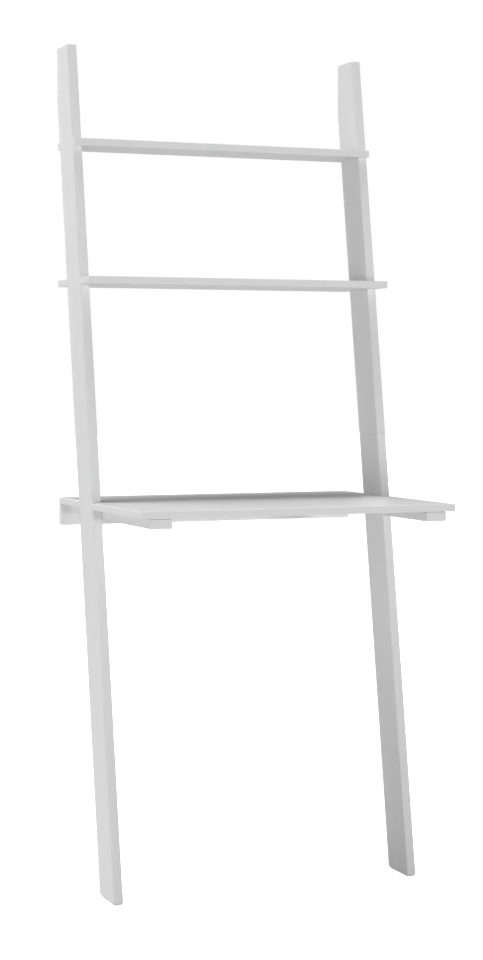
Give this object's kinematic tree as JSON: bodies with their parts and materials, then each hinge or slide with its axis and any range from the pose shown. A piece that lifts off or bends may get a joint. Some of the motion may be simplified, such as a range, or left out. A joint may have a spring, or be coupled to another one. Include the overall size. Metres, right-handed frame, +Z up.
{
  "type": "ladder shelf desk",
  "caption": "White leaning ladder desk: two tilted side rails, narrow shelves and a deep desktop on arms with a back apron.",
  "frame": {"origin": "on the floor, under the middle of the desk's width and depth", "axes": "+Z up, +Y towards the wall that the desk leans on, +X to the right as seen by someone facing the desk"},
  "size_m": [0.64, 0.51, 1.665],
  "materials": {
    "white_lacquer": "satin white lacquer on board",
    "cap_plastic": "matt white moulded plastic",
    "zinc_steel": "bright zinc plate",
    "beech_dowel": "raw beech",
    "foot_rubber": "matt pale rubber"
  },
  "bodies": {
    "root": {"back_apron": "white_lacquer", "desktop": "white_lacquer", "left_apron_dowel": "beech_dowel", "left_apron_screw": "zinc_steel", "left_desk_arm": "white_lacquer", "left_desk_arm_cap_back": "cap_plastic", "left_desk_arm_cap_front": "cap_plastic", "left_desk_arm_screw_back": "zinc_steel", "left_desk_arm_screw_front": "zinc_steel", "left_desktop_screw_back": "zinc_steel", "left_desktop_screw_front": "zinc_steel", "left_foot_pad": "foot_rubber", "left_hanger_plate": "zinc_steel", "left_hanger_screw_lower": "zinc_steel", "left_hanger_screw_upper": "zinc_steel", "left_middle_shelf_cap_back": "cap_plastic", "left_middle_shelf_cap_front": "cap_plastic", "left_middle_shelf_screw_back": "zinc_steel", "left_middle_shelf_screw_front": "zinc_steel", "left_rail_dowel_back": "beech_dowel", "left_rail_dowel_front": "beech_dowel", "left_rail_lower": "white_lacquer", "left_rail_upper": "white_lacquer", "left_splice_plate": "zinc_steel", "left_splice_screw_lower": "zinc_steel", "left_splice_screw_upper": "zinc_steel", "left_top_shelf_cap_back": "cap_plastic", "left_top_shelf_cap_front": "cap_plastic", "left_top_shelf_screw_back": "zinc_steel", "left_top_shelf_screw_front": "zinc_steel", "middle_shelf": "white_lacquer", "right_apron_dowel": "beech_dowel", "right_apron_screw": "zinc_steel", "right_desk_arm": "white_lacquer", "right_desk_arm_cap_back": "cap_plastic", "right_desk_arm_cap_front": "cap_plastic", "right_desk_arm_screw_back": "zinc_steel", "right_desk_arm_screw_front": "zinc_steel", "right_desktop_screw_back": "zinc_steel", "right_desktop_screw_front": "zinc_steel", "right_foot_pad": "foot_rubber", "right_hanger_plate": "zinc_steel", "right_hanger_screw_lower": "zinc_steel", "right_hanger_screw_upper": "zinc_steel", "right_middle_shelf_cap_back": "cap_plastic", "right_middle_shelf_cap_front": "cap_plastic", "right_middle_shelf_screw_back": "zinc_steel", "right_middle_shelf_screw_front": "zinc_steel", "right_rail_dowel_back": "beech_dowel", "right_rail_dowel_front": "beech_dowel", "right_rail_lower": "white_lacquer", "right_rail_upper": "white_lacquer", "right_splice_plate": "zinc_steel", "right_splice_screw_lower": "zinc_steel", "right_splice_screw_upper": "zinc_steel", "right_top_shelf_cap_back": "cap_plastic", "right_top_shelf_cap_front": "cap_plastic", "right_top_shelf_screw_back": "zinc_steel", "right_top_shelf_screw_front": "zinc_steel", "top_shelf": "white_lacquer"}
  },
  "joints": []
}
